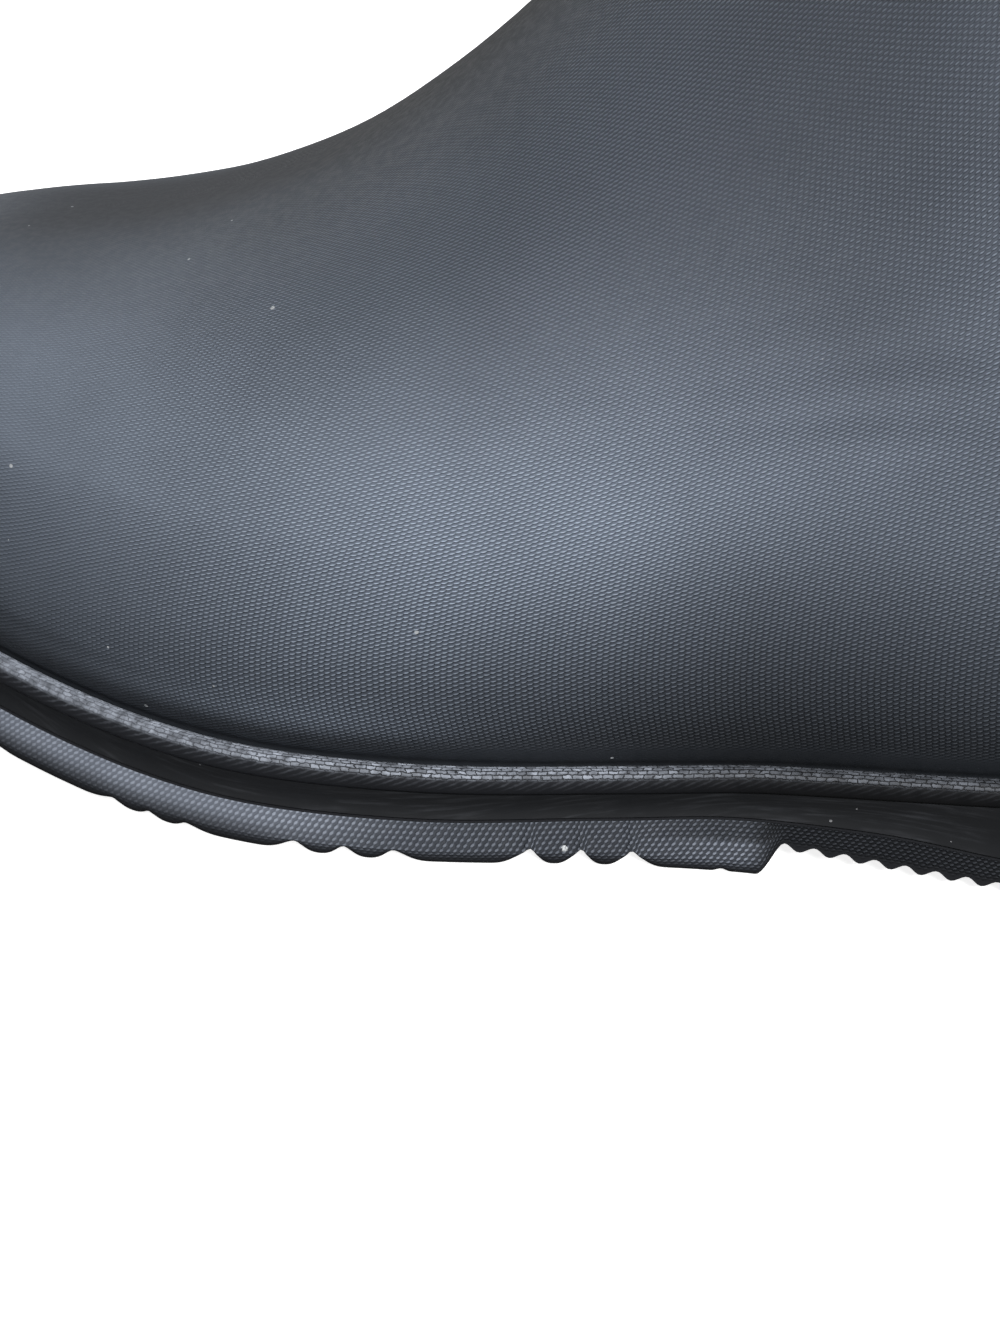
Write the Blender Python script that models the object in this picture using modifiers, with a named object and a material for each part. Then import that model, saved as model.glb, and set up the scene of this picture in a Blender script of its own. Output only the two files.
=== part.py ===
# Winter ankle boot for the left foot: a moulded shell on a welted, lugged sole.
# Metres, +Z up, toe at -X, heel at +X, outer side of the foot at -Y.
# The origin is on the floor under the middle of the sole.
import math

import bpy

MM = 0.001

# Driving dimensions, in millimetres along the foot from the toe of the sole
LENGTH = 290.0            # sole, toe to heel
TOE_SPRING = 14.0         # lift of the sole at the toe
SPRING_LENGTH = 87.0      # the sole is flat behind this
FOREFOOT_EDGE = 12.6      # floor to the top of the welt at the ball
HEEL_LIFT = 7.0           # how much higher the welt is at the heel
LIFT_FROM = 110.0
LIFT_TO = 214.0
WELT_HEIGHT = 2.9
WELT_WIDTH = 2.6
SOLE_FLARE = 1.7          # the lugs stand out this far past the welt
ARCH_TUCK = 0.8           # the arch is drawn in this far instead
INSOLE_THICKNESS = 4.0
WALL = 2.5                # shell of the upper
GAP = 0.3                 # between pieces that meet
WIDEST_RISE = 14.0        # height of the widest level over the welt
WIDEST_INSET = 0.2        # the shell at its widest, inside the edge of the sole
TOE_SETBACK = 2.0         # how much further inside it is at the toe
SETBACK_LENGTH = 60.0
CROWN_SHIFT = 3.0         # the ridge of the instep lies towards the inner side
ANKLE_HALF_WIDTH = 41.0
SHAFT_SQUARE = 2.2        # exponent of the oval of the shaft
TOE_SQUARE = 2.5          # exponent of a section through the toe box
INSTEP_SQUARE = 2.1       # the same through the instep

# Rounding of the outline at toe and heel: length of the round end, and its exponent
TOE_ROUND = {"outer": (102.0, 1.9), "inner": (81.0, 2.0)}
HEEL_ROUND = (38.0, 2.0)

# Half widths of the sole before its ends are rounded: share of the length, outer side, inner side
OUTLINE = (
    (0.00, 53.0, 49.0),
    (0.15, 53.8, 49.0),
    (0.26, 55.2, 49.0),
    (0.35, 53.2, 47.5),
    (0.44, 48.8, 41.8),
    (0.50, 46.9, 38.0),
    (0.60, 47.6, 34.2),
    (0.66, 46.7, 33.8),
    (0.75, 42.6, 35.4),
    (0.85, 39.6, 37.2),
    (1.00, 38.2, 37.6),
)

# Height of the outsole band over the lugs' line: distance from the toe, height
BAND = (
    (50.0, 4.6),
    (75.0, 4.8),
    (105.0, 5.4),
    (140.0, 6.8),
    (158.0, 6.8),
    (178.0, 5.4),
    (230.0, 5.2),
)

# Middle line of the upper from toe to throat: distance from the toe, height
CROWN = (
    (3.5, 37.0),
    (4.6, 42.0),
    (9.0, 51.5),
    (20.0, 56.7),
    (40.0, 58.2),
    (60.0, 61.8),
    (80.0, 70.0),
    (100.0, 85.0),
    (120.0, 107.0),
    (140.0, 136.0),
    (149.0, 153.0),
    (154.0, 172.0),
)

# Back line of the upper: height, distance from the toe
BACK = (
    (14.0, 284.8),
    (32.0, 287.6),
    (50.0, 287.4),
    (75.0, 283.0),
    (105.0, 278.0),
    (130.0, 277.0),
    (162.0, 279.0),
)

# Low rings of the upper, which run level with the welt: rise over its foot.
# The second is just clear of the welt, and the shell swells from there.
LOW_RINGS = (0.0, 3.4, 5.8, 9.2, 13.5)

# Rings above them: place of the front on the crown, height at the back,
# share of the welt's dip that the ring follows, share of the oval of the shaft
HIGH_RINGS = (
    (7.0, 42.0, 0.80, 0.0),
    (9.5, 47.0, 0.65, 0.0),
    (14.0, 50.5, 0.50, 0.0),
    (22.0, 54.0, 0.35, 0.0),
    (33.0, 57.5, 0.20, 0.0),
    (46.0, 61.0, 0.10, 0.0),
    (59.0, 64.5, 0.0, 0.02),
    (71.0, 68.5, 0.0, 0.06),
    (82.0, 73.0, 0.0, 0.13),
    (92.0, 78.5, 0.0, 0.23),
    (102.0, 85.0, 0.0, 0.36),
    (112.0, 92.0, 0.0, 0.50),
    (122.0, 100.0, 0.0, 0.64),
    (132.0, 110.0, 0.0, 0.78),
    (140.0, 121.0, 0.0, 0.89),
    (146.0, 133.0, 0.0, 0.96),
    (150.5, 146.0, 0.0, 1.0),
    (154.0, 162.0, 0.0, 1.0),
)
RING_POINTS = 27          # along each side of a ring of the upper

# Tread: grooves across the sole, in groups of three between wide lugs
GROOVE_DEPTH = 1.9
GROOVE_WIDTH = 5.4
GROOVE_GROUPS = (         # middle groove of each group, pitch
    (42.0, 4.8),
    (69.9, 4.8),
    (94.3, 5.9),
    (122.5, 6.1),
    (219.0, 6.1),
    (252.0, 6.1),
)
ARCH_FROM = 145.5
ARCH_TO = 196.0
ARCH_STEP = 2.5           # length of the step into the arch
ARCH_HIGH = 3.1           # height of the arch at its front
ARCH_LOW = 0.6            # and at the heel
TOOTH_PITCH = 4.2
TOOTH_DEPTH = 1.0
HEEL_BEVEL = 3.0          # lift of the sole at the back edge
HEEL_BEVEL_LENGTH = 26.0

COLOURS = {
    "upper": (0.112, 0.133, 0.162),
    "welt": (0.070, 0.080, 0.098),
    "midsole": (0.034, 0.037, 0.045),
    "outsole": (0.076, 0.084, 0.104),
    "insole": (0.050, 0.052, 0.058),
}


def along(rows, column, x):
    """Value of a table's column at x, on a smooth line that never overshoots its rows."""
    if x <= rows[0][0]:
        return rows[0][column]
    if x >= rows[-1][0]:
        return rows[-1][column]
    steps = [b[0] - a[0] for a, b in zip(rows, rows[1:])]
    slopes = [(b[column] - a[column]) / s for a, b, s in zip(rows, rows[1:], steps)]

    def tangent(k):
        if k == 0 or k == len(rows) - 1:
            return slopes[min(k, len(slopes) - 1)]
        before, after = slopes[k - 1], slopes[k]
        if before * after <= 0.0:
            return 0.0
        return 2.0 * before * after / (before + after)

    k = max(i for i in range(len(steps)) if rows[i][0] <= x)
    t = (x - rows[k][0]) / steps[k]
    a, b = rows[k][column], rows[k + 1][column]
    lift = tangent(k) * steps[k] * t * (1.0 - t) ** 2
    drop = tangent(k + 1) * steps[k] * t ** 2 * (1.0 - t)
    return a + (b - a) * t * t * (3.0 - 2.0 * t) + lift - drop


def smooth(t):
    t = min(max(t, 0.0), 1.0)
    return t * t * (3.0 - 2.0 * t)


def rounded(distance, length, power):
    """Share of the full width at a distance from a round end."""
    t = 1.0 - min(max(distance / length, 0.0), 1.0)
    return (1.0 - t ** power) ** (1.0 / power)


def spring(x):
    return TOE_SPRING * max(0.0, 1.0 - x / SPRING_LENGTH) ** 2


def welt_top(x):
    return FOREFOOT_EDGE + spring(x) + HEEL_LIFT * smooth((x - LIFT_FROM) / (LIFT_TO - LIFT_FROM))


def seat(x):
    """Height of the face that welt, upper and insole stand on."""
    return welt_top(x) - WELT_HEIGHT - GAP


def outsole_top(x):
    return along(BAND, 1, x) + spring(x)


def half_width(x, side):
    column = 1 if side == "outer" else 2
    length, power = TOE_ROUND[side]
    width = along(OUTLINE, column, x / LENGTH)
    return width * rounded(x, length, power) * rounded(LENGTH - x, *HEEL_ROUND)


def end_spaced(count):
    """Stations from toe to heel, closer together at the round ends."""
    half = [0.5 * (1.0 - math.cos(math.pi * k / (count + 1))) for k in range(1, count + 1)]
    return [LENGTH * s for s in half]


def outline_loop(stations, inset):
    """Closed outline, inset square to the edge, as (station, x, y): toe, outer side, heel, inner side.

    The inset is one size, or a function of the station.
    """
    if not callable(inset):
        size = inset
        inset = lambda s: size
    edge = [(0.0, 0.0, 0.0)]
    edge += [(s, s, -half_width(s, "outer")) for s in stations]
    edge += [(LENGTH, LENGTH, 0.0)]
    edge += [(s, s, half_width(s, "inner")) for s in reversed(stations)]
    loop = []
    for k, (s, x, y) in enumerate(edge):
        before, after = edge[k - 1], edge[(k + 1) % len(edge)]
        dx, dy = after[1] - before[1], after[2] - before[2]
        reach = math.hypot(dx, dy)
        loop.append((s, x - inset(s) * dy / reach, y + inset(s) * dx / reach))
    return loop


SHIFT_Y = 0.5 * (max(half_width(LENGTH * k / 200, "outer") for k in range(201))
                 - max(half_width(LENGTH * k / 200, "inner") for k in range(201)))


def in_frame(x, y, z):
    return ((x - 0.5 * LENGTH) * MM, (y + SHIFT_Y) * MM, z * MM)


def make_object(name, verts, faces):
    mesh = bpy.data.meshes.new(name)
    mesh.from_pydata([in_frame(*v) for v in verts], [], faces)
    mesh.validate()
    part = bpy.data.objects.new(name, mesh)
    parts.objects.link(part)
    material = bpy.data.materials.new(name)
    material.use_nodes = True
    shader = material.node_tree.nodes["Principled BSDF"]
    shader.inputs["Base Color"].default_value = (*COLOURS[name], 1.0)
    shader.inputs["Roughness"].default_value = 0.6
    shader.inputs["Metallic"].default_value = 0.0
    mesh.materials.append(material)
    mesh.shade_smooth()
    mesh.set_sharp_from_angle(angle=math.radians(35.0))
    return part


def ring_faces(rings, count):
    """Side faces between rings of equal count, listed from the top ring down."""
    faces = []
    for r in range(rings - 1):
        for k in range(count):
            n = (k + 1) % count
            faces.append((r * count + k, (r + 1) * count + k, (r + 1) * count + n, r * count + n))
    return faces


def cap_faces(first, count, upward):
    """Faces across a ring, from its outer side to its inner side."""
    side = count // 2 - 1
    faces = [(first, first + 1, first + count - 1)]
    for k in range(1, side):
        faces.append((first + k, first + k + 1, first + count - k - 1, first + count - k))
    faces.append((first + side, first + side + 1, first + side + 2))
    return faces if upward else [tuple(reversed(f)) for f in faces]


def slab(name, stations, rings):
    """Closed solid between level rings, each an (inset, height over the station) pair, from the top down."""
    verts = []
    for inset, height in rings:
        verts += [(x, y, height(s)) for s, x, y in outline_loop(stations, inset)]
    count = 2 * len(stations) + 2
    faces = ring_faces(len(rings), count)
    faces += cap_faces(0, count, True)
    faces += cap_faces((len(rings) - 1) * count, count, False)
    return make_object(name, verts, faces)


def groove(x, middle):
    """Depth of one groove at x: a soft trough between rounded lugs."""
    t = min(abs(x - middle) / (0.5 * GROOVE_WIDTH), 1.0)
    return GROOVE_DEPTH * math.cos(0.5 * math.pi * t) ** 2


GROOVES = [middle + k * pitch for middle, pitch in GROOVE_GROUPS for k in (-1, 0, 1)]


def in_arch(x):
    """0 under the lugs of forefoot and heel, 1 in the arch between them."""
    return min(smooth((x - ARCH_FROM) / ARCH_STEP), smooth((ARCH_TO - x) / ARCH_STEP))


def tread(x):
    """Height of the underside of the outsole."""
    bevel = max(0.0, 1.0 - (LENGTH - x) / HEEL_BEVEL_LENGTH)
    share = (x - ARCH_FROM) / (ARCH_TO - ARCH_FROM)
    turn = (x - ARCH_FROM - ARCH_STEP) / TOOTH_PITCH
    teeth = TOOTH_DEPTH * (0.5 + 0.5 * math.cos(2.0 * math.pi * turn))
    arch = ARCH_HIGH + (ARCH_LOW - ARCH_HIGH) * share + teeth
    grooves = sum(groove(x, g) for g in GROOVES)
    return spring(x) + HEEL_BEVEL * bevel ** 2 + in_arch(x) * arch + grooves


def tread_stations():
    """Stations that hold every turn of the tread, with plain ones between."""
    marks = []
    for g in GROOVES:
        marks += [g + 0.5 * GROOVE_WIDTH * t for t in (-0.98, -0.6, -0.3, 0.0, 0.3, 0.6, 0.98)]
    teeth = int((ARCH_TO - ARCH_FROM - 2.0 * ARCH_STEP) / TOOTH_PITCH * 4.0)
    marks += [ARCH_FROM + ARCH_STEP + 0.25 * TOOTH_PITCH * k for k in range(1, teeth)]
    for share in (0.0, 0.3, 0.6, 1.0):
        marks += [ARCH_FROM + share * ARCH_STEP, ARCH_TO - share * ARCH_STEP]
    plain = [s for s in end_spaced(46) if all(abs(s - m) > 1.2 for m in marks)]
    return sorted(marks + plain)


def make_outsole():
    """Slanted side band over lugs with rounded lower edges."""
    def out(size):
        return lambda s: -size * SOLE_FLARE + (size * SOLE_FLARE + ARCH_TUCK) * in_arch(s)

    return slab("outsole", tread_stations(), (
        (1.0, lambda s: outsole_top(s)),
        (out(0.9), lambda s: tread(s) + 1.5),
        (out(0.9), lambda s: tread(s) + 0.6),
        (out(0.3), lambda s: tread(s)),
    ))


def make_midsole():
    def level(share):
        return lambda s: outsole_top(s) + GAP + share * (seat(s) - outsole_top(s) - GAP)

    return slab("midsole", end_spaced(40), (
        (0.5, level(1.0)),
        (0.9, level(0.75)),
        (1.5, level(0.40)),
        (1.6, level(0.15)),
        (1.2, level(0.0)),
    ))


def make_welt():
    """Rounded ring that stands on the edge of the midsole."""
    stations = end_spaced(40)
    sections = (
        (0.45, 0.0), (0.1, 0.30), (0.0, 0.58), (0.3, 0.85), (0.9, 1.0),
        (WELT_WIDTH - 0.5, 0.95), (WELT_WIDTH, 0.75), (WELT_WIDTH, 0.0),
    )
    verts = []
    for inset, share in sections:
        loop = outline_loop(stations, inset)
        verts += [(x, y, seat(s) + GAP + share * WELT_HEIGHT) for s, x, y in loop]
    count = 2 * len(stations) + 2
    faces = [tuple(reversed(f)) for f in ring_faces(len(sections), count)]
    last = (len(sections) - 1) * count
    for k in range(count):
        n = (k + 1) % count
        faces.append((last + k, last + n, n, k))
    return make_object("welt", verts, faces)


def upper_foot(x):
    return seat(x) + GAP


def dip(x):
    """How far the welt line lies under the straight line between its ends."""
    front, back = upper_foot(0.0), upper_foot(LENGTH)
    return upper_foot(x) - (front + (back - front) * x / LENGTH)


def shell_inset(lean):
    """Inset of the shell from the edge of the sole: lean is 0 at its widest and 1 at the welt."""
    def inset(s):
        widest = WIDEST_INSET + TOE_SETBACK * max(0.0, 1.0 - s / SETBACK_LENGTH) ** 2
        return widest + lean * (WELT_WIDTH + 2.0 * GAP - widest)
    return inset


def shell_side(side, lean):
    """Rows (x, half width) of one side of the shell in plan, from toe to heel."""
    loop = outline_loop(end_spaced(90), shell_inset(lean))
    half = len(loop) // 2
    points = loop[:half + 1] if side == "outer" else [loop[0]] + loop[:half - 1:-1]
    return [(x, abs(y)) for s, x, y in points]


def straight(rows, x):
    """Height over x of the line through the rows."""
    for (x0, y0), (x1, y1) in zip(rows, rows[1:]):
        if x <= x1:
            return y0 + (y1 - y0) * max(0.0, x - x0) / (x1 - x0)
    return rows[-1][1]


def ring_table():
    """Front, back and blends of every ring of the upper, from the welt to the collar."""
    rows = []
    for rise in LOW_RINGS:
        clear = max(0.0, rise - LOW_RINGS[1]) / (LOW_RINGS[-1] - LOW_RINGS[1])
        lean = (1.0 - clear) ** 2
        inset = shell_inset(lean)
        front = (inset(0.0), upper_foot(0.0) + rise)
        back = (LENGTH - inset(LENGTH), upper_foot(LENGTH) + rise)
        rows.append((front, back, 1.0, 0.0, lean))
    for place, height, follow, shaft in HIGH_RINGS:
        front = (place, along(CROWN, 1, place))
        rows.append((front, (along(BACK, 1, height), height), follow, shaft, 0.0))
    return rows


def upper_ring(front, back, follow, shaft, lean):
    """One ring of the shell: toe, outer side, heel, inner side."""
    turns = [0.5 * (1.0 - math.cos(math.pi * k / (RING_POINTS + 1))) for k in range(RING_POINTS + 2)]
    plans = {side: shell_side(side, lean) for side in ("outer", "inner")}
    start = min(front[0], CROWN[2][0])

    def height(x, u):
        ends = dip(front[0]) + (dip(back[0]) - dip(front[0])) * u
        return front[1] + (back[1] - front[1]) * u + follow * (dip(x) - ends)

    def foot_width(x, z, side):
        plan = plans[side]
        share = (x - start) / (back[0] - start)
        width = straight(plan, plan[0][0] + (plan[-1][0] - plan[0][0]) * share)
        widest = welt_top(x) + WIDEST_RISE
        room = max(along(CROWN, 1, x) - widest, 1.0)
        level = min(max((z - widest) / room, 0.0), 1.0)
        square = TOE_SQUARE + (INSTEP_SQUARE - TOE_SQUARE) * smooth((x - 60.0) / 60.0)
        return width * (1.0 - level ** square) ** (1.0 / square)

    def shaft_width(u):
        turn = abs(2.0 * u - 1.0)
        return ANKLE_HALF_WIDTH * max(0.0, 1.0 - turn ** SHAFT_SQUARE) ** (1.0 / SHAFT_SQUARE)

    def place(u, side):
        x = front[0] + (back[0] - front[0]) * u
        z = height(x, u)
        width = foot_width(x, z, side) * (1.0 - shaft) + shaft_width(u) * shaft
        crown = CROWN_SHIFT * smooth((z - 40.0) / 45.0) * (1.0 - smooth((x - 150.0) / 90.0))
        return (x, crown + (width if side == "inner" else -width), z)

    return [place(u, "outer") for u in turns] + [place(u, "inner") for u in reversed(turns[1:-1])]


def make_upper():
    rings = [upper_ring(*row) for row in reversed(ring_table())]
    count = len(rings[0])
    verts = [p for ring in rings for p in ring]
    part = make_object("upper", verts, ring_faces(len(rings), count))
    shell = part.modifiers.new("Wall", "SOLIDIFY")
    shell.thickness = WALL * MM
    shell.offset = -1.0
    shell.use_even_offset = True
    return part


def make_insole():
    inset = WELT_WIDTH + GAP + WALL + 1.4
    return slab("insole", end_spaced(30), (
        (inset + 1.2, lambda s: seat(s) + GAP + INSOLE_THICKNESS),
        (inset, lambda s: seat(s) + GAP + INSOLE_THICKNESS - 1.0),
        (inset, lambda s: seat(s) + GAP),
    ))


for old in list(bpy.data.objects):
    bpy.data.objects.remove(old)
parts = bpy.data.collections.new("winter_ankle_boot")
bpy.context.scene.collection.children.link(parts)
make_outsole()
make_midsole()
make_welt()
make_upper()
make_insole()
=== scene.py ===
import math
import bpy
import numpy as np
from mathutils import Matrix, Vector


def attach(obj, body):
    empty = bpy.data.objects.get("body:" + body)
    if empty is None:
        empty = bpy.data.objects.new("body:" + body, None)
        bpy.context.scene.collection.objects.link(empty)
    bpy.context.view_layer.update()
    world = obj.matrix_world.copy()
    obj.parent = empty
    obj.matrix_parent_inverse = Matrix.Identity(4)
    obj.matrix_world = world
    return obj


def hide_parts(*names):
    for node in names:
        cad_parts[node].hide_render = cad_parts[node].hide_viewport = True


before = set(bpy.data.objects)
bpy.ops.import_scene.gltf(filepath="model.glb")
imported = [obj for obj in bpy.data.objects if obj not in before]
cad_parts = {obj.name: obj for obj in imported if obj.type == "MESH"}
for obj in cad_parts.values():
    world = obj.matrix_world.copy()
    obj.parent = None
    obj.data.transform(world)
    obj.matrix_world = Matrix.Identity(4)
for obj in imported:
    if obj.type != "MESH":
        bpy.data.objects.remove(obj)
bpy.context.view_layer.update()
bpy.ops.object.select_all(action="DESELECT")
print("frame loaded")

# camera: aim point and turns that set the boot as the photograph does
viewPoint = {
    "turn": 4.94,
    "rise": 31.89,
    "roll": 4.25,
    "lens": 43.0,
    "sensor": 36.0,
    "aim": (-0.03418, -0.04359, 0.02461),
    "away": 0.1855,
    "clip": (0.002, 20.0),
}


def setCamera():
    turn, rise, roll = (math.radians(viewPoint[k]) for k in ("turn", "rise", "roll"))
    back = Vector((math.sin(turn) * math.cos(rise), -math.cos(turn) * math.cos(rise), math.sin(rise)))
    level = Vector((math.cos(turn), math.sin(turn), 0.0))
    upright = back.cross(level)
    right = level * math.cos(roll) + upright * math.sin(roll)
    up = upright * math.cos(roll) - level * math.sin(roll)
    place = Vector(viewPoint["aim"]) + back * viewPoint["away"]
    bpy.ops.object.camera_add(location=place)
    camera = bpy.context.active_object
    camera.name = "camera"
    turned = Matrix((right, up, back)).transposed().to_4x4()
    camera.matrix_world = Matrix.Translation(place) @ turned
    camera.data.sensor_width = viewPoint["sensor"]
    camera.data.lens = viewPoint["lens"]
    camera.data.clip_start, camera.data.clip_end = viewPoint["clip"]
    bpy.context.scene.camera = camera


setCamera()
print("camera set")

# last and sole, in millimetres from the toe of the sole
last = {
    "length": 290.0,
    "shift": 2.4866,           # puts the middle of the width on the axis
    "toeSpring": 14.0,
    "springLength": 87.0,
    "weltLevel": 12.6,         # top of the welt at the ball
    "heelLift": 7.0,
    "liftFrom": 110.0,
    "liftTo": 214.0,
    "weltHeight": 2.9,
    "weltWidth": 2.6,
    "gap": 0.3,
    "toeRound": {"outer": (102.0, 1.9), "inner": (81.0, 2.0)},
    "heelRound": (38.0, 2.0),
    # share of the length, half width outside, half width inside
    "outline": ((0.00, 53.0, 49.0), (0.15, 53.8, 49.0), (0.26, 55.2, 49.0), (0.35, 53.2, 47.5),
                (0.44, 48.8, 41.8), (0.50, 46.9, 38.0), (0.60, 47.6, 34.2), (0.66, 46.7, 33.8),
                (0.75, 42.6, 35.4), (0.85, 39.6, 37.2), (1.00, 38.2, 37.6)),
    # height of the outsole band: place, height
    "band": ((50.0, 4.6), (75.0, 4.6), (105.0, 4.7), (125.0, 5.4), (140.0, 6.4), (158.0, 6.8), (178.0, 5.4),
             (230.0, 5.2)),
    "weld": 0.000004,          # points nearer than this, in metres, are joined
}


def along(rows, column, x):
    # smooth line through a table that never overshoots its rows
    if x <= rows[0][0]:
        return rows[0][column]
    if x >= rows[-1][0]:
        return rows[-1][column]
    k = max(i for i in range(len(rows) - 1) if rows[i][0] <= x)

    def slope(i):
        return (rows[i + 1][column] - rows[i][column]) / (rows[i + 1][0] - rows[i][0])

    def tangent(i):
        if i == 0 or i == len(rows) - 1:
            return slope(min(i, len(rows) - 2))
        before, after = slope(i - 1), slope(i)
        return 0.0 if before * after <= 0.0 else 2.0 * before * after / (before + after)

    step = rows[k + 1][0] - rows[k][0]
    t = (x - rows[k][0]) / step
    a, b = rows[k][column], rows[k + 1][column]
    bend = tangent(k) * t * (1.0 - t) ** 2 - tangent(k + 1) * t ** 2 * (1.0 - t)
    return a + (b - a) * t * t * (3.0 - 2.0 * t) + step * bend


def soft(t):
    t = min(max(t, 0.0), 1.0)
    return t * t * (3.0 - 2.0 * t)


def ramp(value, start, end):
    # from 0 at start to 1 at end, whichever is the larger
    return soft((value - start) / (end - start))


def hill(x, girth, middle, spread):
    return math.exp(-((x - middle[0]) / spread[0]) ** 2 - ((girth - middle[1]) / spread[1]) ** 2)


def roundEnd(distance, length, power):
    t = 1.0 - min(max(distance / length, 0.0), 1.0)
    return (1.0 - t ** power) ** (1.0 / power)


def spring(x):
    return last["toeSpring"] * max(0.0, 1.0 - x / last["springLength"]) ** 2


def weltTop(x):
    return last["weltLevel"] + spring(x) + last["heelLift"] * ramp(x, last["liftFrom"], last["liftTo"])


def seat(x):
    return weltTop(x) - last["weltHeight"] - last["gap"]


def outsoleTop(x):
    return along(last["band"], 1, x) + spring(x)


def halfWidth(x, side):
    length, power = last["toeRound"][side]
    width = along(last["outline"], 1 if side == "outer" else 2, x / last["length"])
    return width * roundEnd(x, length, power) * roundEnd(last["length"] - x, *last["heelRound"])


def endSpaced(count):
    # places from toe to heel, closer together at the round ends
    return [last["length"] * 0.5 * (1.0 - math.cos(math.pi * k / (count + 1))) for k in range(1, count + 1)]


def outlineLoop(stations, inset):
    # closed outline (station, x, y) from the toe along the outer side to the heel and back
    size = inset if callable(inset) else (lambda s: inset)
    length = last["length"]
    edge = [(0.0, 0.0, 0.0)]
    edge += [(s, s, -halfWidth(s, "outer")) for s in stations]
    edge += [(length, length, 0.0)]
    edge += [(s, s, halfWidth(s, "inner")) for s in reversed(stations)]
    loop = []
    for k, (s, x, y) in enumerate(edge):
        before, after = edge[k - 1], edge[(k + 1) % len(edge)]
        dx, dy = after[1] - before[1], after[2] - before[2]
        reach = math.hypot(dx, dy)
        loop.append((s, x - size(s) * dy / reach, y + size(s) * dx / reach))
    return loop


def toFrame(x, y, z):
    return ((x - 0.5 * last["length"]) * 0.001, (y + last["shift"]) * 0.001, z * 0.001)


def ringPiece(name, rings, lay, **marks):
    # a flat grid whose rows become the rings, in their order, with a UV lay and marks for every point
    rows, columns = len(rings), len(rings[0]) + 1
    bpy.ops.object.select_all(action="DESELECT")
    bpy.ops.mesh.primitive_grid_add(x_subdivisions=columns - 1, y_subdivisions=rows - 1, size=1.0)
    piece = bpy.context.active_object
    piece.name = piece.data.name = name
    closed = [list(ring) + [ring[0]] for ring in rings]
    piece.data.vertices.foreach_set("co", [c for ring in closed for p in ring for c in toFrame(*p)])
    uv = piece.data.uv_layers.active.data
    for loop in piece.data.loops:
        uv[loop.index].uv = lay[loop.vertex_index // columns][loop.vertex_index % columns]
    for label, table in marks.items():
        mark = piece.data.attributes.new(label, "FLOAT", "POINT")
        mark.data.foreach_set("value", [v for row in table for v in list(row) + [row[0]]])
    bpy.ops.object.mode_set(mode="EDIT")
    bpy.ops.mesh.select_all(action="SELECT")
    bpy.ops.mesh.remove_doubles(threshold=last["weld"])
    bpy.ops.object.mode_set(mode="OBJECT")
    bpy.ops.object.shade_smooth()
    return piece


def bandLay(rings):
    # UV lay of a band: length along the ring, then distance over the rings
    points = np.array([list(ring) + [ring[0]] for ring in rings])
    widest = points[np.argmax(np.ptp(points[:, :, 0], axis=1))]
    run = np.concatenate([[0.0], np.cumsum(np.linalg.norm(np.diff(widest, axis=0), axis=1))])
    climb = np.linalg.norm(np.diff(points, axis=0), axis=2)
    climb = np.concatenate([np.zeros((1, points.shape[1])), np.cumsum(climb, axis=0)])
    return [[(float(u), float(v)) for u, v in zip(run, row)] for row in climb]


def slabRings(stations, profile):
    # rings of a slab from the bottom up, with both faces closed along the middle line of the sole
    rings = []
    for inset, height in profile:
        rings.append([(x, y, height(s)) for s, x, y in outlineLoop(stations, inset)])

    def middle(ring):
        flat = []
        for k, (x, y, z) in enumerate(ring):
            twin = ring[(len(ring) - k) % len(ring)]
            flat.append((0.5 * (x + twin[0]), 0.5 * (y + twin[1]), 0.5 * (z + twin[2])))
        return flat

    return [middle(rings[0])] + rings + [middle(rings[-1])]


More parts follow.
